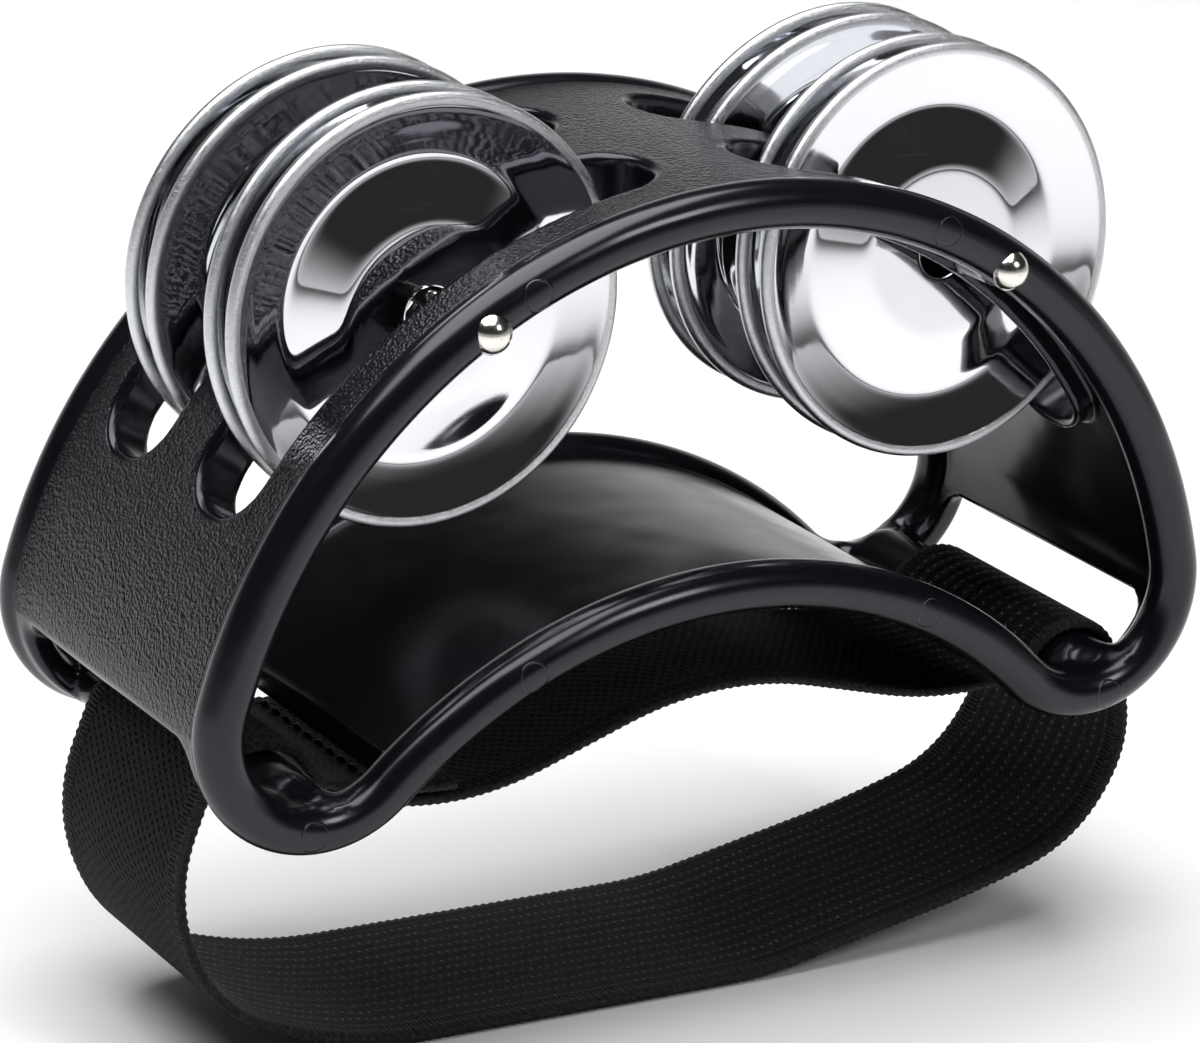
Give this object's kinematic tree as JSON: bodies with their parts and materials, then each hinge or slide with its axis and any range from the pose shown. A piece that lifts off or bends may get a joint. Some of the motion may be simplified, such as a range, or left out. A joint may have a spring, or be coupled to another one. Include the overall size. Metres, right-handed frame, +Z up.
{
  "type": "foot tambourine",
  "caption": "Foot tambourine: arched plastic frame with paired jingle discs on pins and an elastic strap that holds it on a shoe.",
  "frame": {"origin": "on the surface that the strap loop rests on, under the middle of the frame", "axes": "+X from the left lobe to the right lobe, +Y from the front rim, which shows the pin heads, to the rear rim, +Z up from the strap to the jingles"},
  "size_m": [0.1426, 0.059, 0.118],
  "materials": {
    "moulded_plastic": "black ABS, grained outside and smooth inside",
    "pin_steel": "bright nickel plate",
    "jingle_steel": "polished nickel-plated pressed steel",
    "webbing": "woven elastic webbing",
    "thread": "polyester thread"
  },
  "bodies": {
    "body": {"frame": "moulded_plastic", "left_pin": "pin_steel", "right_pin": "pin_steel", "strap": "webbing", "strap_stitching": "thread"},
    "left_front_outer": {"left_front_outer_disc": "jingle_steel"},
    "left_front_inner": {"left_front_inner_disc": "jingle_steel"},
    "left_rear_inner": {"left_rear_inner_disc": "jingle_steel"},
    "left_rear_outer": {"left_rear_outer_disc": "jingle_steel"},
    "right_front_outer": {"right_front_outer_disc": "jingle_steel"},
    "right_front_inner": {"right_front_inner_disc": "jingle_steel"},
    "right_rear_inner": {"right_rear_inner_disc": "jingle_steel"},
    "right_rear_outer": {"right_rear_outer_disc": "jingle_steel"}
  },
  "joints": [
    {"name": "left_front_outer_slide", "type": "slide", "parent": "body", "child": "left_front_outer", "axis": [0, -1, 0], "range_m": [-0.0008, 0.0028]},
    {"name": "left_front_inner_slide", "type": "slide", "parent": "body", "child": "left_front_inner", "axis": [0, -1, 0], "range_m": [-0.0003, 0.0008]},
    {"name": "left_rear_outer_slide", "type": "slide", "parent": "body", "child": "left_rear_outer", "axis": [0, 1, 0], "range_m": [-0.0008, 0.0028]},
    {"name": "left_rear_inner_slide", "type": "slide", "parent": "body", "child": "left_rear_inner", "axis": [0, 1, 0], "range_m": [-0.0003, 0.0008]},
    {"name": "right_front_outer_slide", "type": "slide", "parent": "body", "child": "right_front_outer", "axis": [0, -1, 0], "range_m": [-0.0008, 0.0028]},
    {"name": "right_front_inner_slide", "type": "slide", "parent": "body", "child": "right_front_inner", "axis": [0, -1, 0], "range_m": [-0.0003, 0.0008]},
    {"name": "right_rear_outer_slide", "type": "slide", "parent": "body", "child": "right_rear_outer", "axis": [0, 1, 0], "range_m": [-0.0008, 0.0028]},
    {"name": "right_rear_inner_slide", "type": "slide", "parent": "body", "child": "right_rear_inner", "axis": [0, 1, 0], "range_m": [-0.0003, 0.0008]}
  ]
}
